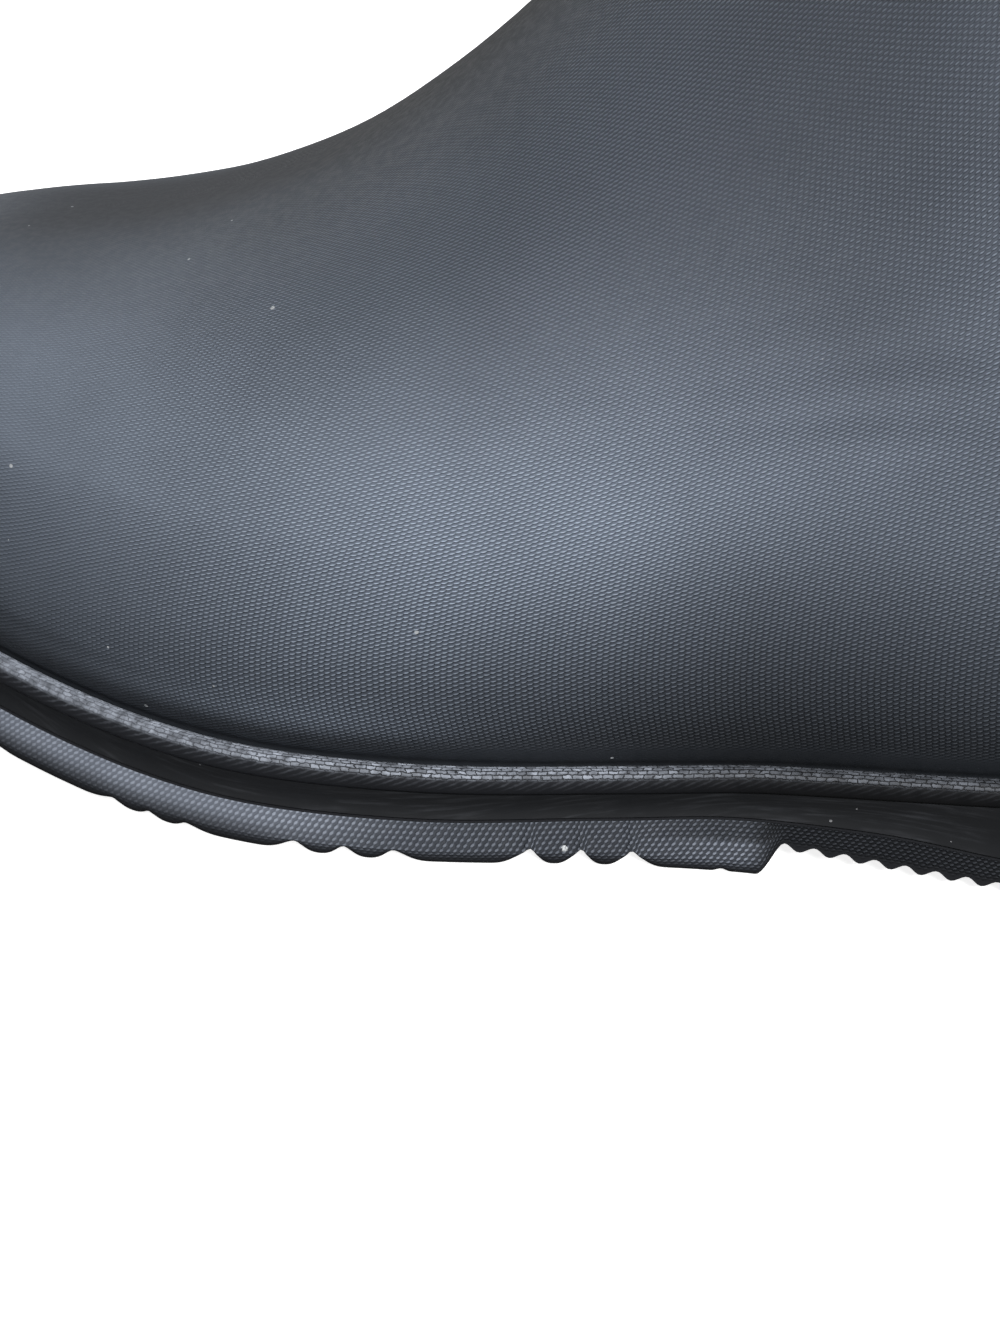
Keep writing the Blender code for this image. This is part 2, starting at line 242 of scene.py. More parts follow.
# upper: one shell drawn over the last, ring by ring from the welt to the collar
upperShape = {
    "wall": 2.5,
    "rim": 0.9,                        # bevel of the collar
    "widestRise": 14.0,
    "widestInset": 0.2,
    "toeSetback": 2.0,
    "setbackLength": 60.0,
    "crownShift": 3.0,                 # the crown line lies this far to the inner side
    "shiftRise": (40.0, 85.0),         # heights over which the shift comes in
    "shiftEnd": (150.0, 240.0),        # places over which it goes out again
    "ankleHalfWidth": 41.0,
    "shaftSquare": 2.2,
    "toeSquare": 2.5,
    "instepSquare": 2.1,
    "squareChange": (60.0, 120.0),     # places from the toe's section to the instep's
    "planStations": 120,
    "ringPoints": 27,                  # along each side
    "fill": 4,                         # curved steps between rings and between their points
    "capLength": (43.0, 21.0),         # the toe cap is smoothed more and more over these places
    "capRise": (3.0, 17.0),            # and over these heights above the welt
    "capPasses": 220,
    # middle line from toe to throat: place, height
    "crown": ((3.5, 37.0), (4.6, 42.0), (9.0, 51.5), (20.0, 56.7), (40.0, 58.2), (60.0, 61.8), (80.0, 70.0),
              (100.0, 85.0), (120.0, 107.0), (140.0, 136.0), (149.0, 153.0), (154.0, 172.0)),
    # back line: height, place
    "back": ((14.0, 284.8), (32.0, 287.6), (50.0, 287.4), (75.0, 283.0), (105.0, 278.0), (130.0, 277.0),
             (162.0, 279.0)),
    "lowRings": (0.0, 1.6, 2.9, 5.4, 9.0, 13.5),
    # front place on the crown, height at the back, share of the welt's dip, share of the shaft's oval
    "highRings": ((7.0, 42.0, 0.80, 0.0), (9.5, 47.0, 0.65, 0.0), (14.0, 50.5, 0.50, 0.0),
                  (22.0, 54.0, 0.35, 0.0), (33.0, 57.5, 0.20, 0.0), (46.0, 61.0, 0.10, 0.0),
                  (59.0, 64.5, 0.0, 0.02), (71.0, 68.5, 0.0, 0.06), (82.0, 73.0, 0.0, 0.13),
                  (92.0, 78.5, 0.0, 0.23), (102.0, 85.0, 0.0, 0.36), (112.0, 92.0, 0.0, 0.50),
                  (122.0, 100.0, 0.0, 0.64), (132.0, 110.0, 0.0, 0.78), (140.0, 121.0, 0.0, 0.89),
                  (146.0, 133.0, 0.0, 0.96), (150.5, 146.0, 0.0, 1.0), (154.0, 162.0, 0.0, 1.0)),
}


def shellInset(lean):
    def inset(s):
        setback = max(0.0, 1.0 - s / upperShape["setbackLength"]) ** 2
        widest = upperShape["widestInset"] + upperShape["toeSetback"] * setback
        return widest + lean * (last["weltWidth"] + 2.0 * last["gap"] - widest)
    return inset


def shellPlan(lean):
    # half widths of the shell along its length, for both sides
    loop = outlineLoop(endSpaced(upperShape["planStations"]), shellInset(lean))
    half = len(loop) // 2
    outer = np.array([(x, abs(y)) for s, x, y in loop[:half + 1]])
    inner = np.array([(x, abs(y)) for s, x, y in [loop[0]] + loop[:half - 1:-1]])
    return {"outer": outer, "inner": inner}


def ringRows():
    # place and height at the front and at the back, share of the dip, share of the oval, lean
    length = last["length"]
    low = upperShape["lowRings"]
    foot = [weltTop(x) - last["weltHeight"] for x in (0.0, length)]
    rows = []
    for rise in low:
        lean = (1.0 - max(0.0, rise - low[1]) / (low[-1] - low[1])) ** 2
        inset = shellInset(lean)
        rows.append((inset(0.0), foot[0] + rise, length - inset(length), foot[1] + rise, 1.0, 0.0, lean))
    for place, height, follow, shaft in upperShape["highRings"]:
        front, back = along(upperShape["crown"], 1, place), along(upperShape["back"], 1, height)
        rows.append((place, front, back, height, follow, shaft, 0.0))
    return rows


def fillIn(points, steps, closed):
    # curved steps between rows of points, through every row
    before, after = np.roll(points, 1, axis=0), np.roll(points, -1, axis=0)
    if not closed:
        before[0] = 2.0 * points[0] - points[1]
        after[-1] = 2.0 * points[-1] - points[-2]
    tangent = 0.5 * (after - before)
    rows = []
    for k in range(len(points) if closed else len(points) - 1):
        n = (k + 1) % len(points)
        for j in range(steps):
            t = j / steps
            here, there = 2.0 * t ** 3 - 3.0 * t ** 2 + 1.0, 3.0 * t ** 2 - 2.0 * t ** 3
            leave, arrive = t ** 3 - 2.0 * t ** 2 + t, t ** 3 - t ** 2
            rows.append(points[k] * here + tangent[k] * leave + points[n] * there + tangent[n] * arrive)
    if not closed:
        rows.append(points[-1])
    return np.array(rows)


def upperRing(frontX, frontZ, backX, backZ, follow, shaft, plans):
    shape = upperShape
    length = last["length"]
    footEnds = [weltTop(x) for x in (0.0, length)]

    def dip(x):
        return weltTop(x) - (footEnds[0] + (footEnds[1] - footEnds[0]) * x / length)

    count = shape["ringPoints"]
    turns = [0.5 * (1.0 - math.cos(math.pi * k / (count + 1))) for k in range(count + 2)]
    start = min(frontX, shape["crown"][2][0])
    dipFront, dipBack = dip(frontX), dip(backX)

    def place(u, side):
        x = frontX + (backX - frontX) * u
        z = frontZ + (backZ - frontZ) * u + follow * (dip(x) - dipFront - (dipBack - dipFront) * u)
        plan = plans[side]
        share = (x - start) / (backX - start)
        width = float(np.interp(plan[0][0] + (plan[-1][0] - plan[0][0]) * share, plan[:, 0], plan[:, 1]))
        widest = weltTop(x) + shape["widestRise"]
        room = max(along(shape["crown"], 1, x) - widest, 1.0)
        level = min(max((z - widest) / room, 0.0), 1.0)
        change = ramp(x, *shape["squareChange"])
        square = shape["toeSquare"] + (shape["instepSquare"] - shape["toeSquare"]) * change
        footWidth = width * (1.0 - level ** square) ** (1.0 / square)
        turn, bend = abs(2.0 * u - 1.0), shape["shaftSquare"]
        oval = shape["ankleHalfWidth"] * max(0.0, 1.0 - turn ** bend) ** (1.0 / bend)
        across = footWidth * (1.0 - shaft) + oval * shaft
        ridge = shape["crownShift"] * ramp(z, *shape["shiftRise"]) * (1.0 - ramp(x, *shape["shiftEnd"]))
        return (x, ridge + (across if side == "inner" else -across), z)

    return [place(u, "outer") for u in turns] + [place(u, "inner") for u in reversed(turns[1:-1])]


# how the woven emboss lies on the upper: counts of columns and rows over length and girth
# a formula holds inside the patch, and outside it the counts go over to plain spacings
weaveLay = {
    "middle": (130.0, 35.0),
    "reach": (50.0, 35.0),
    "patch": ((72.0, 166.0), (10.0, 72.0)),
    # powers of length and girth, count of columns, count of rows
    "counts": ((1, 0, 75.0, 8.0), (2, 0, -3.0, 3.5), (3, 0, 2.0, 5.3),
               (0, 1, -9.5, -71.0), (0, 2, -7.4, -5.0), (0, 3, 6.0, 4.0),
               (1, 1, 13.0, 8.4), (1, 2, 6.0, 5.0), (2, 1, -2.2, 2.5)),
    # per millimetre far from the patch: along the length, up the girth
    "plain": ((1.45, 0.0), (0.0, -1.8)),
    "ease": 25.0,
    "walkFrom": 185.0,             # from here round the heel the columns are counted along the ring
    "frontWalk": (8.0, 138.0),     # and this near to the front of a ring of the shaft
    "sections": 640,               # places along the length where the girth is measured
    "sectionEnd": 2.0,
}


def weaveCount(run, girth, kind):
    # kind 0 counts columns, kind 1 counts rows
    inside = [min(max(value, low), high) for value, (low, high) in zip((run, girth), weaveLay["patch"])]
    parts = zip(inside, weaveLay["middle"], weaveLay["reach"])
    a, h = [(value - middle) / reach for value, middle, reach in parts]
    count, alongRun, upGirth = 0.0, 0.0, 0.0
    for i, j, *sizes in weaveLay["counts"]:
        count += sizes[kind] * a ** i * h ** j
        if i:
            alongRun += sizes[kind] * i * a ** (i - 1) * h ** j / weaveLay["reach"][0]
        if j:
            upGirth += sizes[kind] * j * a ** i * h ** (j - 1) / weaveLay["reach"][1]
    for value, near, slope, plain in zip((run, girth), inside, (alongRun, upGirth), weaveLay["plain"][kind]):
        over = value - near
        settle = weaveLay["ease"] * (1.0 - math.exp(-abs(over) / weaveLay["ease"]))
        count += plain * over + (slope - plain) * math.copysign(settle, over)
    return count


def sectionGirths(rings):
    # places along the length, the girth there from the lowest ring up to each ring, and the run to each place
    half = len(rings[0]) // 2
    end = weaveLay["sectionEnd"]
    xs = np.linspace(end, last["length"] - end, weaveLay["sections"])
    fronts = np.array([ring[0] for ring in rings])
    girths = {}
    for side in ("outer", "inner"):
        levels = {1: [], 2: []}
        for ring in rings:
            points = np.array(ring[:half + 1] if side == "outer" else [ring[0]] + ring[:half - 1:-1])
            past = xs < points[0][0]       # the section has already met the crown line here
            for column, rows in levels.items():
                crown = np.interp(xs, fronts[:, 0], fronts[:, column])
                rows.append(np.where(past, crown, np.interp(xs, points[:, 0], points[:, column])))
        steps = np.hypot(*[np.diff(np.array(rows), axis=0) for rows in levels.values()])
        girths[side] = np.concatenate([np.zeros((1, len(xs))), np.cumsum(steps, axis=0)])
    widths = np.array([0.5 * (halfWidth(x, "outer") + halfWidth(x, "inner")) for x in xs])
    runs = np.concatenate([[0.0], np.cumsum(np.hypot(np.diff(xs), np.diff(widths)))])
    return xs, girths, runs


def upperLay(rings):
    # counts of the weave, depth of the emboss and the painted light and shade at every point
    half = len(rings[0]) // 2
    xs, girths, runs = sectionGirths(rings)
    near, shaftFrom = weaveLay["frontWalk"]
    perLength, perGirth = weaveLay["plain"][0][0], weaveLay["plain"][1][1]
    lay, emboss, bloom = [], [], []
    for r, ring in enumerate(rings):
        layRow, embossRow, bloomRow = [], [], []
        rim = soft((len(rings) - 1 - r) / embossLay["rimRings"])
        for k in range(len(ring) + 1):
            x, y, z = ring[k % len(ring)]
            side = "outer" if k <= half else "inner"
            girth = float(np.interp(x, xs, girths[side][r]))
            left = float(np.interp(x, xs, girths[side][-1])) - girth       # still to go to the crown line
            if k < half and x < weaveLay["walkFrom"]:
                run = float(np.interp(x, xs, runs))
                layRow.append((weaveCount(run, girth, 0), weaveCount(run, girth, 1)))
            else:
                before = ring[k - 1]
                layRow.append((layRow[-1][0] + perLength * math.dist((x, y, z), before),
                               layRow[-1][1] + perGirth * (z - before[2])))
            # a section at the very toe is too short, so the height over the welt's foot counts there
            climb = max(girth, z - weltTop(x) + last["weltHeight"])
            inner = embossLay["innerToe"] if side == "inner" else 0.0
            blank = 1.0 - inner * ramp(x, *embossLay["innerToeLength"])
            embossRow.append(embossAt(x, z, climb, left) * rim * blank)
            bloomRow.append(bloomAt(x, climb, left))
        front = sum(1 for k in range(half) if ring[k][0] < ring[0][0] + near) if ring[0][0] > shaftFrom else 0
        for k in range(front - 1, -1, -1):
            step = math.dist(ring[k], ring[k + 1])
            layRow[k] = (layRow[k + 1][0] - perLength * step,
                         layRow[k + 1][1] + perGirth * (ring[k][2] - ring[k + 1][2]))
        lay.append(layRow)
        emboss.append(embossRow[:-1])
        bloom.append(bloomRow[:-1])
    return lay, emboss, bloom


# painted light and shade on the upper: a painted highlight most on the ball, some paleness on the toe and up
# the shaft, painted shade over the welt and along the crown line, and a painted sheen over the welt
# At and Spread are the middle and size of a tone, along the length and up the girth
# most other pairs are the places, or girths, over which a tone comes in
bloomLay = {
    "plain": 0.6,
    # painted highlight on the ball
    "ball": 1.34,
    "ballAt": (114.0, 33.0),
    "ballSpread": (46.0, 20.0),
    "toe": 0.28,
    "toeLength": (95.0, 55.0),
    "toeGirth": (12.0, 38.0),
    "shaft": 0.42,
    "shaftLength": (138.0, 170.0),
    "heel": (230.0, 170.0),
    "crown": 0.8,                      # how far the crown line is darkened, painted shade
    "crownGirth": (38.0, 4.0),
    "crownToe": (4.0, 50.0),
    "crownShaft": (160.0, 110.0),
    "least": (0.2, -0.08),             # painted shade over the welt, share of the tone left there: at the toe, change towards the arch
    "leastLength": (115.0, 155.0),
    "clean": (23.0, 33.0),             # girth that the tone takes to get full, out of the painted shade: at the toe, more at the arch
    "cleanFrom": -2.0,
    "cleanLength": (80.0, 160.0),
    "low": 0.7,                        # painted sheen: a pale streak over the welt, from the toe to the ball
    "lowAt": (88.0, 9.0),
    "lowSpread": (30.0, 20.0, 3.2),    # towards the toe, towards the heel, up the girth
    "lowGirth": (4.5, 7.5),
}


# painted light and shade at a point of the upper: highlight on the ball, paler toe and shaft, shade along the
# crown line and over the welt, sheen over the welt
def bloomAt(x, girth, left):
    look = bloomLay
    heel = ramp(x, *look["heel"])
    ball = look["ball"] * hill(x, girth, look["ballAt"], look["ballSpread"])
    toe = look["toe"] * ramp(x, *look["toeLength"]) * ramp(girth, *look["toeGirth"])
    shaft = look["shaft"] * ramp(x, *look["shaftLength"]) * heel
    crown = ramp(left, *look["crownGirth"]) * ramp(x, *look["crownShaft"]) * ramp(x, *look["crownToe"])
    # painted shade over the welt, going out up the girth
    least = look["least"][0] + look["least"][1] * ramp(x, *look["leastLength"])
    clean = look["clean"][0] + look["clean"][1] * ramp(x, *look["cleanLength"]) * heel
    full = least + (1.0 - least) * soft((girth - look["cleanFrom"]) / clean)
    # painted sheen over the welt
    before, after, across = look["lowSpread"]
    low = look["low"] * hill(x, girth, look["lowAt"], (before if x < look["lowAt"][0] else after, across))
    low *= ramp(girth, *look["lowGirth"])
    return full * (look["plain"] + ball + toe + shaft) * (1.0 - look["crown"] * crown) + low


# how deep the weave is: it runs out over the welt, soonest at the arch, and is shallow on the toe
embossLay = {
    "strip": (2.6, 2.2),               # smooth girth over the welt: at the toe, more at the arch
    "stripLength": (90.0, 115.0),
    "stripFade": 3.6,
    "toe": 0.75,
    "toeLength": (86.0, 44.0),
    "deep": 0.65,
    "deepAt": (120.0, 17.0),
    "deepSpread": (44.0, 15.0),
    "crown": 0.9,
    "crownGirth": (28.0, 8.0),
    "crownShaft": (165.0, 125.0),
    "shaft": 0.92,                     # nearly none up the front of the shaft
    "shaftHeight": (110.0, 124.0),
    "shaftFront": (176.0, 158.0),
    "innerToe": 0.7,
    "innerToeLength": (100.0, 50.0),
    "rimRings": 3.0,
}


def embossAt(x, z, girth, left):
    look = embossLay
    strip = look["strip"][0] + look["strip"][1] * ramp(x, *look["stripLength"])
    low = soft((girth - strip) / look["stripFade"])
    toe = 1.0 - look["toe"] * ramp(x, *look["toeLength"])
    deep = 1.0 + look["deep"] * hill(x, girth, look["deepAt"], look["deepSpread"])
    crown = 1.0 - look["crown"] * ramp(left, *look["crownGirth"]) * ramp(x, *look["crownShaft"])
    shaft = 1.0 - look["shaft"] * ramp(z, *look["shaftHeight"]) * ramp(x, *look["shaftFront"])
    return low * toe * deep * crown * shaft


def applyModifier(piece, name, kind, **values):
    bpy.context.view_layer.objects.active = piece
    modifier = piece.modifiers.new(name, kind)
    for key, value in values.items():
        setattr(modifier, key, value)
    bpy.ops.object.modifier_apply(modifier=name)


def makeUpper():
    shape = upperShape
    plans = {}
    rings = []
    for *row, lean in ringRows():
        lean = round(lean, 6)
        if lean not in plans:
            plans[lean] = shellPlan(lean)
        rings.append(upperRing(*row, plans[lean]))
    around = fillIn(np.array(rings).transpose(1, 0, 2), shape["fill"], True)
    rings = fillIn(around.transpose(1, 0, 2), shape["fill"], False)
    rings = [[tuple(map(float, p)) for p in ring] for ring in rings]
    lay, emboss, bloom = upperLay(rings)
    piece = ringPiece("bootUpper", rings, lay, emboss=emboss, bloom=bloom)
    piece.data.materials.append(rubberUpper())
    piece.data.materials.append(liningCloth())
    cap = piece.vertex_groups.new(name="toeCap")
    for vertex in piece.data.vertices:
        x, z = vertex.co.x * 1000.0 + 0.5 * last["length"], vertex.co.z * 1000.0
        share = ramp(x, *shape["capLength"]) * ramp(z - weltTop(x), *shape["capRise"])
        cap.add([vertex.index], share, "REPLACE")
    applyModifier(piece, "toeEase", "SMOOTH", factor=0.5, iterations=shape["capPasses"],
                  vertex_group="toeCap")
    applyModifier(piece, "wall", "SOLIDIFY", thickness=shape["wall"] * 0.001, offset=-1.0,
                  material_offset=1, material_offset_rim=0)
    applyModifier(piece, "rim", "BEVEL", width=shape["rim"] * 0.001, segments=3, limit_method="ANGLE",
                  angle_limit=math.radians(50.0))
    bpy.ops.object.shade_smooth()
    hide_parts("upper")
    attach(piece, "root")
    return piece


# node helpers
def newMaterial(name):
    material = bpy.data.materials.new(name)
    material.use_nodes = True
    tree = material.node_tree
    return material, tree, tree.nodes["Principled BSDF"]


def feed(tree, socket, value):
    # a socket is linked, a plain value is set
    if isinstance(value, bpy.types.NodeSocket):
        tree.links.new(value, socket)
    elif isinstance(value, tuple) and socket.type == "RGBA":
        socket.default_value = (*value, 1.0)
    else:
        socket.default_value = value


def mathNode(tree, operation, a, b=0.0):
    node = tree.nodes.new("ShaderNodeMath")
    node.operation = operation
    feed(tree, node.inputs[0], a)
    feed(tree, node.inputs[1], b)
    return node.outputs[0]


def rangeNode(tree, value, low, high, toLow=0.0, toHigh=1.0):
    node = tree.nodes.new("ShaderNodeMapRange")
    node.interpolation_type = "SMOOTHSTEP"
    for k, part in enumerate((value, low, high, toLow, toHigh)):
        feed(tree, node.inputs[k], part)
    return node.outputs["Result"]


def mixNode(tree, share, a, b, blend="MIX"):
    node = tree.nodes.new("ShaderNodeMix")
    node.data_type = "RGBA"
    node.blend_type = blend
    for k, part in ((0, share), (6, a), (7, b)):
        feed(tree, node.inputs[k], part)
    return node.outputs[2]


def noiseNode(tree, vector, scale, detail=3.0, roughness=0.5):
    node = tree.nodes.new("ShaderNodeTexNoise")
    for label, part in (("Vector", vector), ("Scale", scale), ("Detail", detail), ("Roughness", roughness)):
        feed(tree, node.inputs[label], part)
    return node.outputs["Fac"]


def spreadNoise(tree, noise, low, high):
    # noise keeps to the middle of its range, so the middle is spread over low to high
    return rangeNode(tree, noise, 0.3, 0.7, low, high)


def markNode(tree, label):
    node = tree.nodes.new("ShaderNodeAttribute")
    node.attribute_name = label
    return node.outputs["Fac"]


def shadeNode(tree, colour, share):
    # colour times one share in all three channels
    tone = tree.nodes.new("ShaderNodeCombineColor")
    for socket in tone.inputs:
        feed(tree, socket, share)
    return mixNode(tree, 1.0, colour, tone.outputs["Color"], "MULTIPLY")


def newGroup(name, entries, result):
    group = bpy.data.node_groups.new(name, "ShaderNodeTree")
    for label in entries:
        kind = "NodeSocketVector" if label in ("Lay", "Place") else "NodeSocketFloat"
        group.interface.new_socket(label, in_out="INPUT", socket_type=kind)
    group.interface.new_socket(result, in_out="OUTPUT", socket_type="NodeSocketFloat")
    entry, end = group.nodes.new("NodeGroupInput"), group.nodes.new("NodeGroupOutput")
    return group, entry.outputs, end.inputs[result]


def weaveGroup():
    # short dashes in a half-drop lattice: every second column is shifted by half a row
    name = "wovenEmboss"
    if name in bpy.data.node_groups:
        return bpy.data.node_groups[name]
    tree, entry, end = newGroup(name, ("Lay", "Column Pitch", "Row Pitch", "Twill", "Flatten",
                                       "Unevenness", "Wander", "Low", "High"), "Dash")
    stray = noiseNode(tree, entry["Lay"], entry["Wander"], 2.0)
    stray = mathNode(tree, "SUBTRACT", stray, 0.5)
    stray = mathNode(tree, "MULTIPLY", stray, entry["Unevenness"])
    parts = tree.nodes.new("ShaderNodeSeparateXYZ")
    tree.links.new(entry["Lay"], parts.inputs[0])
    turns = []
    for axis, pitch, size in (("X", "Column Pitch", math.pi), ("Y", "Row Pitch", 2.0 * math.pi)):
        place = mathNode(tree, "ADD", parts.outputs[axis], stray)
        count = mathNode(tree, "DIVIDE", place, entry[pitch])
        turns.append(mathNode(tree, "MULTIPLY", count, size))
    rising = mathNode(tree, "COSINE", mathNode(tree, "ADD", *turns))
    falling = mathNode(tree, "COSINE", mathNode(tree, "SUBTRACT", *turns))
    rows = mathNode(tree, "COSINE", mathNode(tree, "MULTIPLY", turns[1], 2.0))
    more = mathNode(tree, "ADD", 0.5, entry["Twill"])
    less = mathNode(tree, "SUBTRACT", 0.5, entry["Twill"])
    both = mathNode(tree, "ADD", mathNode(tree, "MULTIPLY", rising, more),
                    mathNode(tree, "MULTIPLY", falling, less))
    both = mathNode(tree, "ADD", both, mathNode(tree, "MULTIPLY", rows, entry["Flatten"]))
    tree.links.new(rangeNode(tree, both, entry["Low"], entry["High"]), end)
    return tree


def lintGroup():
    # a few tiny pale specks of dust
    name = "lintSpecks"
    if name in bpy.data.node_groups:
        return bpy.data.node_groups[name]
    tree, entry, end = newGroup(name, ("Place", "Scale", "Size", "Share"), "Speck")
    cells = tree.nodes.new("ShaderNodeTexVoronoi")
    tree.links.new(entry["Place"], cells.inputs["Vector"])
    tree.links.new(entry["Scale"], cells.inputs["Scale"])
    pick = tree.nodes.new("ShaderNodeSeparateXYZ")
    tree.links.new(cells.outputs["Color"], pick.inputs[0])
    near = mathNode(tree, "LESS_THAN", cells.outputs["Distance"],
                    mathNode(tree, "MULTIPLY", entry["Size"], pick.outputs["Y"]))
    few = mathNode(tree, "LESS_THAN", pick.outputs["X"], entry["Share"])
    tree.links.new(mathNode(tree, "MULTIPLY", near, few), end)
    return tree


def groupNode(tree, group, vector, values):
    # the first input takes the vector, the others plain values
    node = tree.nodes.new("ShaderNodeGroup")
    node.node_tree = group
    tree.links.new(vector, node.inputs[0])
    for label, value in values.items():
        feed(tree, node.inputs[label], value)
    return node.outputs[0]


def bumpNode(tree, height, strength, distance, normal=None):
    node = tree.nodes.new("ShaderNodeBump")
    node.inputs["Strength"].default_value = strength
    node.inputs["Distance"].default_value = distance
    tree.links.new(height, node.inputs["Height"])
    if normal is not None:
        tree.links.new(normal, node.inputs["Normal"])
    return node.outputs["Normal"]


def finishSurface(tree, shader, colour, rough, specular, *reliefs):
    # each relief is a height, a strength and a distance in metres
    tree.links.new(colour, shader.inputs["Base Color"])
    feed(tree, shader.inputs["Roughness"], rough)
    shader.inputs["Specular IOR Level"].default_value = specular
    normal = None
    for height, strength, distance in reliefs:
        normal = bumpNode(tree, height, strength, distance, normal)
    tree.links.new(normal, shader.inputs["Normal"])


# matte slate rubber with the woven emboss; it stays smooth in a strip over the welt
upperFinish = {
    "slate": (0.208, 0.244, 0.300),
    "slateDark": (0.048, 0.057, 0.075),
    "lint": (0.42, 0.44, 0.46),
    "weave": {"Column Pitch": 1.0, "Row Pitch": 1.0, "Twill": 0.16, "Flatten": 0.0, "Unevenness": 0.4,
              "Wander": 0.2, "Low": -0.15, "High": 0.7},
    "dash": 0.78,                          # how much paler a dash is, painted light on the relief
    "flat": (0.0, 1.7, 0.42, 0.04),        # painted shade in the relief's gaps: from no emboss to the deepest, tone of the ground from and to
    "specks": {"Scale": 300.0, "Size": 0.085, "Share": 0.16},
    "cloud": (28.0, 4.0, 0.55),            # scale, detail and roughness of the noise
    "cloudTone": (0.9, 1.1),
    "fine": (900.0, 3.0, 0.6),
    "fineRelief": (0.25, 0.00006),
    "depth": 0.00026,
    "rough": (0.58, 0.74),
    "specular": 0.35,
}


def rubberUpper():
    look = upperFinish
    material, tree, shader = newMaterial("slateRubber")
    place = tree.nodes.new("ShaderNodeTexCoord")
    weave = groupNode(tree, weaveGroup(), place.outputs["UV"], look["weave"])
    cloud = noiseNode(tree, place.outputs["Object"], *look["cloud"])
    fine = noiseNode(tree, place.outputs["Object"], *look["fine"])
    depth = markNode(tree, "emboss")
    dash = mathNode(tree, "MULTIPLY", weave, depth)
    # painted light and shade of the relief: paler dashes, and a ground that is darker where the emboss is
    # deeper
    ground = rangeNode(tree, depth, *look["flat"])
    lit = mathNode(tree, "ADD", mathNode(tree, "MULTIPLY", dash, look["dash"]), ground)
    colour = mixNode(tree, lit, look["slateDark"], look["slate"])
    patchy = spreadNoise(tree, cloud, *look["cloudTone"])
    # painted light and shade from the mark, times random patches
    patchy = mathNode(tree, "MULTIPLY", markNode(tree, "bloom"), patchy)
    colour = shadeNode(tree, colour, patchy)
    speck = groupNode(tree, lintGroup(), place.outputs["Object"], look["specks"])
    colour = mixNode(tree, speck, colour, look["lint"])
    finishSurface(tree, shader, colour, spreadNoise(tree, fine, *look["rough"]), look["specular"],
                  (dash, 1.0, look["depth"]), (fine, *look["fineRelief"]))
    return material


# dark knit inside the shell
liningFinish = {
    "dark": (0.030, 0.032, 0.037),
    "nap": (0.090, 0.094, 0.104),
    "knit": {"Column Pitch": 1.6, "Row Pitch": 2.8, "Twill": 0.0, "Flatten": 0.0, "Unevenness": 0.6,
             "Wander": 0.2, "Low": -0.15, "High": 0.7},
    "knitRelief": (0.8, 0.0002),
    "fibres": (1400.0, 4.0, 0.65),
    "fibreRelief": (0.6, 0.0002),
    "rough": 0.92,
    "specular": 0.15,
}


def liningCloth():
    look = liningFinish
    material, tree, shader = newMaterial("liningCloth")
    place = tree.nodes.new("ShaderNodeTexCoord")
    knit = groupNode(tree, weaveGroup(), place.outputs["UV"], look["knit"])
    fibres = noiseNode(tree, place.outputs["Object"], *look["fibres"])
    share = mathNode(tree, "MULTIPLY", knit, fibres)
    colour = mixNode(tree, share, look["dark"], look["nap"])
    finishSurface(tree, shader, colour, look["rough"], look["specular"],
                  (knit, *look["knitRelief"]), (fibres, *look["fibreRelief"]))
    return material


# welt: rounded ridge with short staggered dashes
weltShape = {
    "stations": 260,
    "foot": 0.06,              # over the seat
    "swell": 0.24,             # over the height of the welt
    # inset from the edge of the sole, share of the height, from inside the foot round over the top
    "section": ((2.6, 0.0), (0.45, 0.0), (0.22, 0.14), (0.08, 0.30), (0.0, 0.48), (0.02, 0.62),
                (0.14, 0.76), (0.36, 0.88), (0.66, 0.96), (1.05, 1.0), (1.5, 0.995), (2.1, 0.95),
                (2.45, 0.88), (2.6, 0.75)),
}
weltFinish = {
    "ridge": (0.320, 0.348, 0.402),
    # painted shade in the gaps between the dashes and down the side of the ridge
    "groove": (0.012, 0.013, 0.016),
    # faint slanted marks on the side of the ridge, which come in over these distances up the section
    "marks": {"Column Pitch": 0.75, "Row Pitch": 0.8, "Twill": -0.38, "Flatten": 0.0, "Unevenness": 0.8,
              "Wander": 0.9, "Low": -0.1, "High": 0.9},
    "markShare": 0.1,
    "markFrom": (2.7, 4.2),
    # close dashes on its top
    "dashes": {"Color1": (1.0, 1.0, 1.0), "Color2": (0.42, 0.42, 0.42), "Mortar": (0.04, 0.04, 0.04),
               "Scale": 1.0, "Mortar Size": 0.10, "Mortar Smooth": 0.8, "Bias": -0.2,
               "Brick Width": 1.2, "Row Height": 0.55},
    "dashFrom": (4.35, 4.95),
    "stray": {"Scale": 1.5, "Detail": 3.0},
    "strayReach": (1.1, 0.5, 0.0),
    "blur": (0.5, 0.5, 0.5),               # what the dashes fade to towards the toe
    "crisp": (-0.085, -0.04, 0.35, 1.0),
    "crest": 0.8,                          # painted highlight, most along the top, over these rings
    "crestRings": (8.0, 12.0),
    # place, share of the pale tone
    "tones": ((50.0, 1.4), (80.0, 1.25), (100.0, 1.0), (120.0, 1.0), (128.0, 0.85), (136.0, 0.55),
              (146.0, 0.4), (165.0, 0.38), (290.0, 0.6)),
    "grain": (700.0, 4.0, 0.6),
    "grainTone": (0.35, 1.1),
    "grainRelief": (0.3, 0.0001),
    "depth": 0.00016,
    "rough": (0.55, 0.72),
    "specular": 0.3,
}


